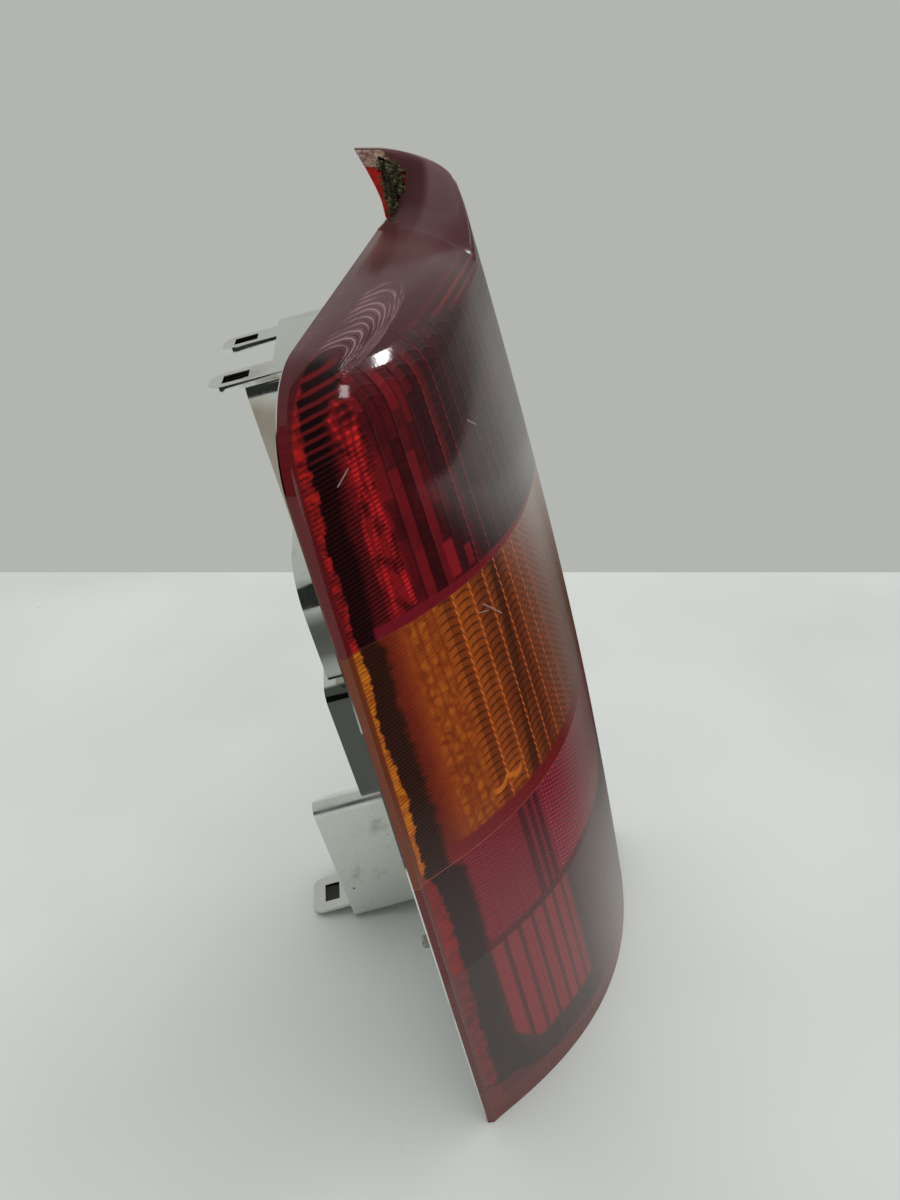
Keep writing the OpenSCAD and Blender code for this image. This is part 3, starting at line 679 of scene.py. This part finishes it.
def lens_piece(name, z0, z1, materials, node):
    """One shot of the lens as a closed shell: outer face, rim, inner face and seams."""
    xs = lens_columns()
    at_foot, at_top = z0 <= 0, z1 is None
    lo = np.zeros_like(xs) if at_foot else seam(z0, xs)
    hi = top_z(xs) - round_r(xs) if at_top else seam(z1, xs)
    height = float(np.max(hi - lo))
    flat = np.linspace(0, 1, max(4, int(height / 1.6)))
    rows = lo[:, None] + (hi - lo)[:, None] * flat[None]
    if at_top:
        arc = np.radians(np.linspace(0, 90, 17)[1:])
        rows = np.concatenate([rows, hi[:, None] + round_r(xs)[:, None] * np.sin(arc)[None]], 1)
    grid_x = np.repeat(xs[:, None], rows.shape[1], 1)
    nx, nz = rows.shape
    d = lens_depth(grid_x, rows)
    outer = np.stack([grid_x, rim_y(grid_x, rows) - d, rows], 2)

    # inner face, a wall thickness inside
    top = top_z(grid_x)
    end = top if at_top else np.repeat(hi[:, None], nz, 1)
    share = (rows - lo[:, None]) / (end - lo[:, None])
    ux = LENS_T + grid_x * (WIDTH - 2 * LENS_T) / WIDTH
    in_lo = np.full_like(ux, LENS_T) if at_foot else seam(z0, ux)
    in_hi = seam(z1, ux) if not at_top else top - LENS_T
    if at_top:
        steep = np.clip((grid_x - 100) / 40, 0, 1)
        in_hi = in_hi + steep * (top_z(ux - 1.6) - 2.0 - in_hi)
    uz = in_lo + share * (in_hi - in_lo)
    inner_d = d - LENS_T * d / (d + 4) - flute(grid_x, rows)
    inner = np.stack([ux, rim_y(ux, uz) - inner_d, uz], 2)
    outer[..., 1] = np.maximum(outer[..., 1], FRONT_Y)

    verts, faces, index = [], [], []

    def add(points):
        start = sum(len(v) for v in verts)
        verts.append(points.reshape(-1, 3))
        return start + np.arange(points.size // 3).reshape(points.shape[:-1])

    o, i = add(outer), add(inner)

    def skin(g, flip, material):
        for a in range(g.shape[0] - 1):
            for b in range(g.shape[1] - 1):
                q = [g[a, b], g[a + 1, b], g[a + 1, b + 1], g[a, b + 1]]
                faces.append(q[::-1] if flip else q)
                index.append(material)

    skin(o, False, 0)
    skin(i, True, 1)

    # walls from the faces to the rim plane on the free sides, with steps on the way
    def wall(line_o, line_i, pts_o, pts_i, depth_o, depth_i, flip):
        steps = 12
        share_w = np.linspace(0, 1, steps + 1)[1:]
        last_o, last_i = line_o, line_i
        for f in share_w:
            po, pi = pts_o.copy(), pts_i.copy()
            po[:, 1] += (depth_o + rim_lift(po[:, 0], po[:, 2])) * f
            pi[:, 1] += (depth_i + rim_lift(pi[:, 0], pi[:, 2])) * f
            new_o, new_i = add(po), add(pi)
            for last, new, mat, turn in ((last_o, new_o, 0, flip), (last_i, new_i, 1, not flip)):
                for k in range(len(last) - 1):
                    q = [last[k], last[k + 1], new[k + 1], new[k]]
                    faces.append(q[::-1] if turn else q)
                    index.append(mat)
            last_o, last_i = new_o, new_i
        for k in range(len(last_o) - 1):
            q = [last_o[k], last_o[k + 1], last_i[k + 1], last_i[k]]
            faces.append(q[::-1] if flip else q)
            index.append(1)

    wall(o[0], i[0], outer[0], inner[0], d[0], inner_d[0], False)
    wall(o[-1], i[-1], outer[-1], inner[-1], d[-1], inner_d[-1], True)
    if at_top:
        wall(o[:, -1], i[:, -1], outer[:, -1], inner[:, -1], d[:, -1], inner_d[:, -1], False)
    if at_foot:
        wall(o[:, 0], i[:, 0], outer[:, 0], inner[:, 0], d[:, 0], inner_d[:, 0], True)

    # seams to the shots above and below
    def close(row, flip):
        for k in range(nx - 1):
            q = [o[k, row], o[k + 1, row], i[k + 1, row], i[k, row]]
            faces.append(q[::-1] if flip else q)
            index.append(0)
    if not at_foot:
        close(0, True)
    if not at_top:
        close(nz - 1, False)

    obj = new_object(name, to_part(np.concatenate(verts)), faces, materials, index)
    bm = bmesh.new()
    bm.from_mesh(obj.data)
    bmesh.ops.remove_doubles(bm, verts=bm.verts, dist=2e-6)
    bmesh.ops.recalc_face_normals(bm, faces=bm.faces)
    bm.to_mesh(obj.data)
    bm.free()
    for bite in corner_cutters(materials[2]) if at_top else ():
        cut = obj.modifiers.new("bite", "BOOLEAN")
        cut.operation, cut.object, cut.solver = "DIFFERENCE", bite, "EXACT"
        cut.material_mode = "TRANSFER"
        apply_modifiers(obj)
        bpy.data.objects.remove(bite)
    set_place(obj.data)
    sharpen(obj, 50)
    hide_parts(node)
    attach(obj, "root")
    return obj


skins = {k: lens_skin(k) for k in ("upper", "amber", "rose", "lower")}
# inner sides painted bright, as painted light shining through the lens
backlit_insides = {"upper": lens_inside_backlit("upper", rgb(176, 14, 10), rgb(238, 36, 22)),
           "amber": lens_inside_backlit("amber", rgb(170, 70, 10), rgb(220, 110, 20)),
           "rose": lens_inside_backlit("rose", rgb(150, 30, 40), rgb(190, 60, 70)),
           "lower": lens_inside_backlit("lower", rgb(120, 10, 14), rgb(170, 20, 22))}
broken = broken_plastic()

lens_piece("lens_upper", RED_Z, None, [skins["upper"], backlit_insides["upper"], broken], "lens_red_upper")
lens_piece("lens_amber_shot", AMBER_Z, RED_Z, [skins["amber"], backlit_insides["amber"]], "lens_amber")
lens_piece("lens_rose_shot", ROSE_Z, AMBER_Z, [skins["rose"], backlit_insides["rose"]], "lens_rose")
lens_piece("lens_lower", 0, ROSE_Z, [skins["lower"], backlit_insides["lower"]], "lens_red_lower")


# ---------------------------------------------------------------- housing

COS, SIN = math.cos(LEAN), math.sin(LEAN)
WALL = 2.2


def rim_w(x, t):
    """Depth of the rim plane in the housing's leaned frame, over a place along the rim."""
    return (1.2 + t * (RIM_LEAN * COS - SIN) - x * RIM_SWEEP) / (COS + RIM_LEAN * SIN)


def leaned(x, w, t):
    return x, w * COS + t * SIN, t * COS - w * SIN


def joined(bm, obj_material, name):
    bmesh.ops.recalc_face_normals(bm, faces=bm.faces)
    mesh = bpy.data.meshes.new(name)
    bm.to_mesh(mesh)
    bm.free()
    mesh.materials.append(obj_material)
    obj = bpy.data.objects.new(name, mesh)
    bpy.context.scene.collection.objects.link(obj)
    return obj


def leaned_prism(name, outline, front, back, material):
    """A closed prism over (x, t) points, from front to back; either may be a function of x and t."""
    bm = bmesh.new()
    rings = []
    for w in (front, back):
        rings.append([bm.verts.new(tuple(to_part(leaned(x, w(x, t) if callable(w) else w, t)))) for x, t in outline])
    n = len(outline)
    for k in range(n):
        bm.faces.new((rings[0][k], rings[0][(k + 1) % n], rings[1][(k + 1) % n], rings[1][k]))
    bm.faces.new(rings[0])
    bm.faces.new(rings[1][::-1])
    return joined(bm, material, name)


def boolean(obj, other, operation):
    mod = obj.modifiers.new("join", "BOOLEAN")
    mod.operation, mod.object, mod.solver = operation, other, "EXACT"
    apply_modifiers(obj)
    bpy.data.objects.remove(other)


def chamber_outline(c, inset):
    """Rounded outline of a chamber as (x, t), with the roof falling to the inner side."""
    x0, x1, t0, t1, _, _, r, fall = c
    b = 5.0
    normal = 90 - math.degrees(math.atan(fall / (x1 - x0 - 2 * r)))
    corners = [(x1 - r, t1 - fall - r, r, 0, normal), (x0 + r, t1 - r, r, normal, 180),
               (x0 + b, t0 + b, b, 180, 270), (x1 - b, t0 + b, b, 270, 360)]
    points = []
    for cx, ct, radius, a0, a1 in corners:
        for k in range(9):
            a = math.radians(a0 + (a1 - a0) * k / 8)
            points.append((cx + (radius - inset) * math.cos(a), ct + (radius - inset) * math.sin(a)))
    return points


def plate_outline(inset):
    """Outline of the base plate as (x, t), inside the rim of the lens and under the raised corner."""
    xs = np.concatenate([CORNER_R * (1 - np.cos(np.radians(np.arange(0, 90.1, 7.5)))), np.arange(38, WIDTH - 1, 8), [WIDTH]])
    top = LENS_H - HORN_H - TOP_RISE * (WIDTH - xs) - CORNER_DROP * (1 - np.sqrt(np.clip(1 - np.clip(1 - xs / CORNER_R, 0, 1) ** 2, 0, 1)))
    ux = inset + xs * (WIDTH - 2 * inset) / WIDTH
    points = [(inset, inset), (WIDTH - inset, inset)] + [(float(a), float(b) - inset) for a, b in zip(ux[::-1], top[::-1])]
    return [(x, float(rim_y(x, z)) * SIN + z * COS) for x, z in points]


def tongue(name, x0, t0, root, tip, width, lip, material):
    """A snap tongue with a round tip and a slot that ends on a thin floor."""
    r, thick = 5.0, 1.8
    pts = [(x0, root), (x0 + width, root)]
    pts += [(x0 + width - r + r * math.cos(a), tip - r + r * math.sin(a)) for a in np.radians(np.arange(0, 90.1, 11.25))]
    pts += [(x0 + r - r * math.sin(a), tip - r + r * math.cos(a)) for a in np.radians(np.arange(0, 90.1, 11.25))]

    def slab(points, low, high, label):
        bm = bmesh.new()
        rings = [[bm.verts.new(tuple(to_part(leaned(x, w, t)))) for x, w in points] for t in (low, high)]
        n = len(points)
        for k in range(n):
            bm.faces.new((rings[0][k], rings[0][(k + 1) % n], rings[1][(k + 1) % n], rings[1][k]))
        bm.faces.new(rings[0])
        bm.faces.new(rings[1][::-1])
        return joined(bm, material, label)

    obj = slab(pts, t0, t0 + thick, name)
    slot_w = width * 0.52
    a, b = x0 + (width - slot_w) / 2, x0 + (width + slot_w) / 2
    end = tip - lip
    boolean(obj, slab([(a, end - 7.6), (b, end - 7.6), (b, end), (a, end)], t0 + 0.4, t0 + thick + 1, "slot"), "DIFFERENCE")
    return obj


def housing_piece(material):
    """The moulded housing: base plate, five chambers, bosses for the studs, and snap tongues."""
    reach = 49.5
    chambers = [(30, 106, 252, 309.7, 0, 12, 5, 0), (30, 106, 208, 249.5, 6, 0, 15, 0), (30, 106, 157, 205, 9, 0, 5, 0),
                (62, 106, 92, 131, -2, 0, 5, 0), (113, 154, reach * math.tan(LEAN), 88, reach, 10, 5, 24)]
    body = leaned_prism("housing_moulding", plate_outline(0.6), lambda x, t: rim_w(x, t) + 0.02,
                        lambda x, t: rim_w(x, t) + 0.8, material)
    boolean(body, leaned_prism("inner_plate", plate_outline(6.0), lambda x, t: rim_w(x, t) - 1.4,
                               lambda x, t: rim_w(x, t) + 0.82, material), "UNION")
    for c in chambers:
        boolean(body, leaned_prism("block", chamber_outline(c, 0), rim_w, c[4], material), "UNION")
    for x, t, end in ((134, 285, -30), (134, 137, -27), (60, 44, -6)):
        ring = [(x + 7 * math.cos(a), t + 7 * math.sin(a)) for a in np.radians(np.arange(0, 360, 10))]
        boolean(body, leaned_prism("boss", ring, rim_w, end, material), "UNION")
    for c in chambers:
        floor = c[4] - c[5]
        boolean(body, leaned_prism("hollow", chamber_outline(c, WALL), lambda x, t: rim_w(x, t) - 4, floor - WALL, material),
                "DIFFERENCE")
        if c[5]:
            boolean(body, leaned_prism("recess", chamber_outline(c, WALL + 0.01), floor, c[4] + 3, material), "DIFFERENCE")
        height = c[3] - c[7] - c[2]
        r = min(24.0, height - 4 * WALL) / 2
        if c[4] != 6:
            cx, ct = (c[0] + c[1]) / 2, c[2] + height / 2
            ring = [(cx + r * math.cos(a), ct + r * math.sin(a)) for a in np.radians(np.arange(0, 360, 7.5))]
            boolean(body, leaned_prism("bulb_hole", ring, floor - 2 * WALL, floor + WALL, material), "DIFFERENCE")
    top = chambers[0][3]
    cut = [(35, top - 4.4), (111, top - 4.4), (111, top + 4.4), (35, top + 4.4)]
    boolean(body, leaned_prism("shelf_cut", cut, -7.8, 7.8, material), "DIFFERENCE")
    tongues = [tongue("near_tongue", 31, top - 1.8, -12, 10.2, 15, 3.9, material),
               tongue("far_tongue", 76.5, top - 1.8, -12, 10.2, 15, 3.9, material),
               tongue("low_tongue", 116.5, 18.2, reach - 12, reach + 20, 22, 6.3, material)]
    for t in tongues:
        boolean(body, t, "UNION")
    bm = bmesh.new()
    bm.from_mesh(body.data)
    bmesh.ops.remove_doubles(bm, verts=bm.verts, dist=2e-6)
    bmesh.ops.dissolve_limit(bm, angle_limit=math.radians(0.5), verts=bm.verts, edges=bm.edges)
    for f in bm.faces:
        f.smooth = True
    bm.to_mesh(body.data)
    bm.free()
    soft = body.modifiers.new("soft_edges", "BEVEL")
    soft.width, soft.segments, soft.limit_method, soft.angle_limit = 0.00028, 2, "ANGLE", math.radians(32)
    soft.use_clamp_overlap = True
    apply_modifiers(body)
    sharpen(body, 40)
    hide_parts("housing")
    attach(body, "root")
    return body


# Painted reflections: light and dark bands on the side of the step chamber, as height and brightness
STEP_REFLECTION_BANDS = [(205, 0.75), (211, 0.5), (217, 0.3), (220, 0.05), (226, 0.0), (231, 0.02), (234, 0.25), (236, 0.5),
              (239, 0.95), (242, 1.0), (244, 0.6), (247, 0.5), (252, 0.9)]


def bright_plastic():
    """Metallised plastic: mirror bright, a little wavy, dulled by dirt and dull where the coat is thin, with painted
    reflections on the chamber sides and painted shade in the slots.
    """
    m = Mat("metallised")
    spot = m.spot()
    split = m.node("ShaderNodeSeparateXYZ")
    m.tree.links.new(spot, split.inputs[0])
    px, py, pz = (Value(m, split.outputs[k]) for k in range(3))
    x, y, z = (p * 1000.0 - float(o) for p, o in zip((px, py, pz), OFFSET))
    t, w = y * SIN + z * COS, y * COS - z * SIN
    waves = m.noise(spot, 30, 2, 0.4)
    fine = m.noise(spot, 420, 3, 0.6)
    dirt = m.noise(spot, 55, 5, 0.65)
    specks = m.noise(spot, 260, 2, 0.5)
    outer = m.ramp(px, -0.0455, -0.0475)
    color = m.mix(rgb(226, 228, 224), rgb(186, 184, 174), m.ramp(dirt, 0.56, 0.72) * 0.7)
    # painted dark reflection on the side of the middle chamber
    painted_dark_reflection = outer * m.between(pz, 0.146, 0.2055, 0.002)
    color = m.mix(color, rgb(46, 50, 42), painted_dark_reflection * 0.9)
    # painted reflection: the side of the upper chamber is painted brownish grey
    brownish_reflection = outer * m.between(pz, 0.246, 0.296, 0.004)
    color = m.mix(color, rgb(158, 138, 120), brownish_reflection * 0.75)
    color = m.mix(color, rgb(70, 60, 46), m.ramp(specks, 0.73, 0.79) * 0.8)
    # painted reflections: light and dark bands on the side of the step chamber
    band = outer * m.between(t, 208.0, 250.0, 0.5)
    color = m.mix(color, m.mix(rgb(52, 54, 46), rgb(236, 238, 234), m.curve(t, STEP_REFLECTION_BANDS, 400.0, 1.0)), band * 0.9)
    color = m.mix(color, rgb(96, 52, 44), m.ramp(x, 5.0, 3.0) * m.ramp(t, 215.0, 235.0) * 0.9)
    # painted shade: the floors of the slots in the tongues are painted near black
    slot = m.between(t, 307.9, 309.3, 0.1) * m.between(w, -1.4, 6.4, 0.1)
    slot = slot * (m.between(x, 34.4, 42.6, 0.1) + m.between(x, 79.9, 88.1, 0.1))
    slot = slot + m.between(t, 18.3, 19.6, 0.1) * m.between(w, 55.4, 63.4, 0.1) * m.between(x, 121.6, 133.4, 0.1)
    color = m.mix(color, rgb(34, 32, 30), slot * 0.95)
    low = m.ramp(pz, 0.11, 0.09)
    return m.set(color=color, metal=1.0, rough=m.ramp(dirt, 0.35, 0.75) * 0.18 + 0.07 + low * 0.2,
                 normal=m.bump(waves + fine * 0.03, 0.0012, 0.35))


housing_piece(bright_plastic())


# ---------------------------------------------------------------- sealant

def old_sealant():
    m = Mat("sealant")
    spot = m.spot()
    lumps = m.noise(spot, 240, 4, 0.6)
    m.set(color=m.mix(rgb(26, 20, 18), rgb(58, 48, 42), m.ramp(lumps, 0.45, 0.75)), rough=0.7,
          normal=m.bump(lumps, 0.001, 0.7))
    return m.material


def sealant_piece(material):
    """The old bead as the CAD has it, broken off where the raised corner is."""
    obj = bpy.data.objects.new("old_sealant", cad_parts["sealant_bead"].data.copy())
    bpy.context.scene.collection.objects.link(obj)
    obj.data.materials.clear()
    obj.data.materials.append(material)
    for cutter in corner_cutters(material):
        for v in cutter.data.vertices:
            v.co += Vector((0, -0.003, -0.005))
        boolean(obj, cutter, "DIFFERENCE")
    for p in obj.data.polygons:
        p.use_smooth = True
    sharpen(obj, 30)
    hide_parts("sealant_bead")
    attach(obj, "root")


sealant_piece(old_sealant())


# ---------------------------------------------------------------- studs

def plated_steel():
    m = Mat("plated_steel")
    spot = m.spot()
    stain = m.noise(spot, 300, 4, 0.6)
    color = m.mix(rgb(176, 172, 160), rgb(120, 96, 66), m.ramp(stain, 0.52, 0.75))
    return m.set(color=color, metal=1.0, rough=m.ramp(stain, 0.3, 0.8) * 0.3 + 0.22, normal=m.bump(stain, 0.0003, 0.4))


def stud_piece(node, material):
    """Threaded stud on the axis of its CAD node: collar, thread with run-out, and point."""
    lo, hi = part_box(node)
    axis = Vector((0, math.cos(LEAN), -math.sin(LEAN)))
    src = np.array([v.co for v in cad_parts[node].data.vertices])
    centre = (src.min(0) + src.max(0)) / 2
    along = (src - centre) @ np.array(axis)
    base = Vector(centre) + axis * (along.min() + 0.009)
    side = Vector((1, 0, 0))
    up = axis.cross(side)
    steps, around = 150, 40
    verts, faces = [], []
    for i in range(steps + 1):
        t = i / steps * 0.018
        for k in range(around):
            a = 2 * math.pi * k / around
            turn = (t / 0.001 - k / around) % 1.0
            groove = 0.00034 * (1 - abs(2 * turn - 1))
            fade = min(1.0, max(0.0, (t - 0.0026) / 0.0008)) * min(1.0, max(0.0, (0.0179 - t) / 0.0006))
            r = 0.003 - groove * fade - max(0.0, t - 0.0172) * 0.9
            p = base + axis * t + (side * math.cos(a) + up * math.sin(a)) * r
            verts.append(p)
    for i in range(steps):
        for k in range(around):
            j = (k + 1) % around
            faces.append((i * around + k, i * around + j, (i + 1) * around + j, (i + 1) * around + k))
    faces.append(tuple(steps * around + k for k in range(around)))
    # collar with rounded edges
    start = len(verts)
    profile = [(0.0029, 0.0), (0.0051, 0.0), (0.0055, 0.0004), (0.0055, 0.0016), (0.0051, 0.002), (0.0029, 0.002)]
    for r, t in profile:
        for k in range(around):
            a = 2 * math.pi * k / around
            verts.append(base + axis * t + (side * math.cos(a) + up * math.sin(a)) * r)
    for i in range(len(profile) - 1):
        for k in range(around):
            j = (k + 1) % around
            faces.append((start + i * around + k, start + i * around + j, start + (i + 1) * around + j, start + (i + 1) * around + k))
    obj = new_object(node + "_threaded", verts, faces, [material])
    bm = bmesh.new()
    bm.from_mesh(obj.data)
    bmesh.ops.recalc_face_normals(bm, faces=bm.faces)
    bm.to_mesh(obj.data)
    bm.free()
    sharpen(obj, 40)
    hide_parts(node)
    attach(obj, "root")
    return obj


steel = plated_steel()
for name in ("stud_upper", "stud_middle", "stud_lower"):
    stud_piece(name, steel)


# ---------------------------------------------------------------- moss and dirt in the broken corner

def moss_material():
    m = Mat("moss")
    spot = m.spot()
    tint = m.noise(spot, 500, 3, 0.6)
    color = m.mix(rgb(34, 26, 18), rgb(104, 96, 62), m.ramp(tint, 0.35, 0.7))
    return m.set(color=color, rough=0.9, normal=m.bump(tint, 0.0006, 0.8))


def moss_piece():
    """Clumps of dry moss and soil that fill the hollow behind the broken corner."""
    rng = np.random.default_rng(11)
    verts, faces = [], []

    def lump(centre, r, squash):
        bm = bmesh.new()
        bmesh.ops.create_icosphere(bm, subdivisions=2, radius=1.0)
        start = len(verts)
        for v in bm.verts:
            k = 0.75 + 0.55 * noise.noise(v.co * 1.7 + Vector(centre))
            verts.append(tuple(np.array(centre) + np.array(v.co) * r * k * squash))
        for f in bm.faces:
            faces.append(tuple(start + v.index for v in f.verts))
        bm.free()

    def place():
        """A spot in the hollow, as it is seen through the broken wall."""
        v = rng.uniform(162, 220)
        left = np.interp(v, [150, 165, 188, 203, 215], [380, 377, 382, 388, 391])
        right = np.interp(v, [150, 173, 188, 203, 221], [392, 405, 404, 397, 388])
        return tuple(sight(rng.uniform(left, max(right, left + 1)), v, rng.uniform(147.0, 157.0)))

    for _ in range(130):
        lump(place(), rng.uniform(0.7, 1.6), np.array([1, 0.8, 0.8]))
    for _ in range(220):
        p = np.array(place())
        direction = rng.normal(size=3)
        direction[2] = abs(direction[2]) + 0.3
        direction[1] = abs(direction[1]) + 0.2
        direction /= np.linalg.norm(direction)
        length, r = rng.uniform(1.2, 3.6), rng.uniform(0.08, 0.16)
        side = np.cross(direction, [0.3, 1.0, 0.2])
        side /= np.linalg.norm(side)
        other = np.cross(direction, side)
        start = len(verts)
        for t, w in ((0.0, 1.0), (0.5, 0.9), (1.0, 0.15)):
            bend = side * (0.5 * t * t)
            for a in (0, 2.094, 4.189):
                verts.append(tuple(p + direction * length * t + bend + (side * math.cos(a) + other * math.sin(a)) * r * w))
        for q in range(2):
            for k in range(3):
                a, b = start + q * 3 + k, start + q * 3 + (k + 1) % 3
                faces.append((a, b, b + 3, a + 3))
        faces.append((start + 6, start + 7, start + 8))
    obj = new_object("corner_moss", to_part(verts), faces, [moss_material()])
    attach(obj, "root")
    return obj


moss_piece()


# ---------------------------------------------------------------- camera

camera = bpy.data.objects.new("camera", bpy.data.cameras.new("camera"))
bpy.context.scene.collection.objects.link(camera)
camera.data.sensor_fit = "VERTICAL"
camera.data.sensor_height = 24.0
camera.data.sensor_width = 24.0
camera.data.lens = 18.0
camera.data.clip_start, camera.data.clip_end = 0.01, 20.0
camera.location = eye
camera.rotation_mode = "QUATERNION"
camera.rotation_quaternion = forward.to_track_quat("-Z", "Y")
bpy.context.scene.camera = camera


# ---------------------------------------------------------------- floor, wall and light

def table_paint():
    m = Mat("table_top")
    spot = m.spot()
    cloud = m.noise(spot, 3.0, 3, 0.5)
    glint_dots = m.noise(spot, 95, 2, 0.5)
    color = m.mix(rgb(200, 203, 201), rgb(212, 215, 212), m.ramp(cloud, 0.3, 0.7))
    color = m.mix(color, rgb(96, 92, 88), m.ramp(glint_dots, 0.785, 0.81) * 0.8)
    return m.set(color=color, rough=0.8, level=0.2)


# The table ends at the height in the picture where it meets the wall behind it
across = Vector((-math.sin(turn), -math.cos(turn), 0))
ahead = Vector((math.cos(turn), -math.sin(turn), 0))
foot = Vector((eye[0], eye[1], 0)) + ahead * 0.716
table = new_object("table", [foot - across * 2.5, foot + across * 2.5, foot + across * 2.5 - ahead * 3.5,
                             foot - across * 2.5 - ahead * 3.5], [(0, 1, 2, 3)], [table_paint()], smooth=False)

# A dark card behind the camera, which only reflections see
card_paint = Mat("dark_room")
card_paint.set(color=card_paint.mix(rgb(24, 26, 25), rgb(44, 47, 45), card_paint.noise(card_paint.spot(), 1.5, 2)), rough=0.9)
centre = Vector((eye[0], eye[1], 0.45)) - ahead * 0.9
card = new_object("dark_card", [centre + across * 1.6 + Vector((0, 0, 1.9)), centre - across * 1.6 + Vector((0, 0, 1.9)),
                                centre - across * 1.6 - Vector((0, 0, 0.40)), centre + across * 1.6 - Vector((0, 0, 0.40))],
                  [(0, 1, 2, 3)], [card_paint.material], smooth=False)

# A sheet over the table that only reflections see: table coloured near the lamp and painted dark further off, so that
# the lens and metal reflect dark
floor_paint = Mat("dark_floor")
split = floor_paint.node("ShaderNodeSeparateXYZ")
floor_paint.tree.links.new(floor_paint.spot(), split.inputs[0])
fx, fy = Value(floor_paint, split.outputs[0]), Value(floor_paint, split.outputs[1])
away = floor_paint.math("SQRT", (fx + 0.07) * (fx + 0.07) + fy * fy)
shade = floor_paint.ramp(away, 0.08, 0.30) * floor_paint.ramp(fx, 0.85, 0.35) * floor_paint.ramp(fy, 0.05, -0.08)
floor_paint.set(color=floor_paint.mix(rgb(206, 209, 206), rgb(26, 25, 24), shade), rough=0.9, level=0.1)
floor_card = new_object("dark_floor_card", [(-3.2, -3.0, 0.0015), (0.9, -3.0, 0.0015), (0.9, 1.5, 0.0015),
                                            (-3.2, 1.5, 0.0015)], [(0, 1, 2, 3)], [floor_paint.material], smooth=False)
side_paint = Mat("side_room")
split = side_paint.node("ShaderNodeSeparateXYZ")
side_paint.tree.links.new(side_paint.spot(), split.inputs[0])
fade = side_paint.ramp(Value(side_paint, split.outputs[0]), 0.9, 3.4)
side_paint.set(color=side_paint.mix(rgb(30, 32, 31), rgb(176, 178, 173), fade), rough=0.9)
side_card = new_object("dark_side_card", [(-1.3, -2.0, 0.0), (4.0, -2.0, 0.0), (4.0, -2.0, 4.0), (-1.3, -2.0, 4.0)],
                       [(0, 1, 2, 3)], [side_paint.material], smooth=False)
for sheet in (card, floor_card, side_card):
    sheet.visible_camera = False
    sheet.visible_diffuse = False
    sheet.visible_transmission = False
    sheet.visible_shadow = False


def lamp(name, place, target, width, height, power, color=(1, 1, 1), roll=0.0):
    data = bpy.data.lights.new(name, "AREA")
    data.shape, data.size, data.size_y = "RECTANGLE", width, height
    data.energy, data.color = power, color
    obj = bpy.data.objects.new(name, data)
    bpy.context.scene.collection.objects.link(obj)
    obj.location = place
    obj.rotation_mode = "QUATERNION"
    aim = (Vector(target) - Vector(place)).to_track_quat("-Z", "Y")
    obj.rotation_quaternion = aim @ Quaternion((0, 0, 1), math.radians(roll))
    return obj


ceiling = lamp("ceiling", (0.1, 0.1, 1.9), (0.0, 0.0, 0.1), 1.6, 1.6, 17.0, (1.0, 0.995, 0.985))
ceiling.visible_glossy = False
lamp("window", (0.918, -1.217, 1.169), (-0.036, 0.04, 0.303), 0.26, 0.07, 1.6, (0.98, 0.99, 1.0), 29)
lamp("side_window", (0.347, -1.527, 1.063), (-0.056, 0.052, 0.30), 0.30, 0.10, 0.7, (0.98, 0.99, 1.0), 39)

world = bpy.data.worlds.new("room")
bpy.context.scene.world = world
world.use_nodes = True
tree = world.node_tree
tree.nodes.clear()
w_out = tree.nodes.new("ShaderNodeOutputWorld")
wall = tree.nodes.new("ShaderNodeBackground")
wall.inputs["Color"].default_value = rgb(179, 181, 176)
fill = tree.nodes.new("ShaderNodeBackground")
fill.inputs["Color"].default_value = rgb(206, 207, 205)
w_mix = tree.nodes.new("ShaderNodeMixShader")
w_path = tree.nodes.new("ShaderNodeLightPath")
w_seen = tree.nodes.new("ShaderNodeMath")
w_seen.operation = "ADD"
w_any = tree.nodes.new("ShaderNodeMath")
w_any.operation, w_any.use_clamp = "ADD", True
tree.links.new(w_path.outputs["Is Camera Ray"], w_seen.inputs[0])
tree.links.new(w_path.outputs["Is Glossy Ray"], w_seen.inputs[1])
tree.links.new(w_seen.outputs[0], w_any.inputs[0])
tree.links.new(w_path.outputs["Is Transmission Ray"], w_any.inputs[1])
tree.links.new(w_any.outputs[0], w_mix.inputs[0])
tree.links.new(fill.outputs[0], w_mix.inputs[1])
tree.links.new(wall.outputs[0], w_mix.inputs[2])
tree.links.new(w_mix.outputs[0], w_out.inputs["Surface"])

bpy.context.scene.view_settings.view_transform = "Standard"

bpy.context.view_layer.update()
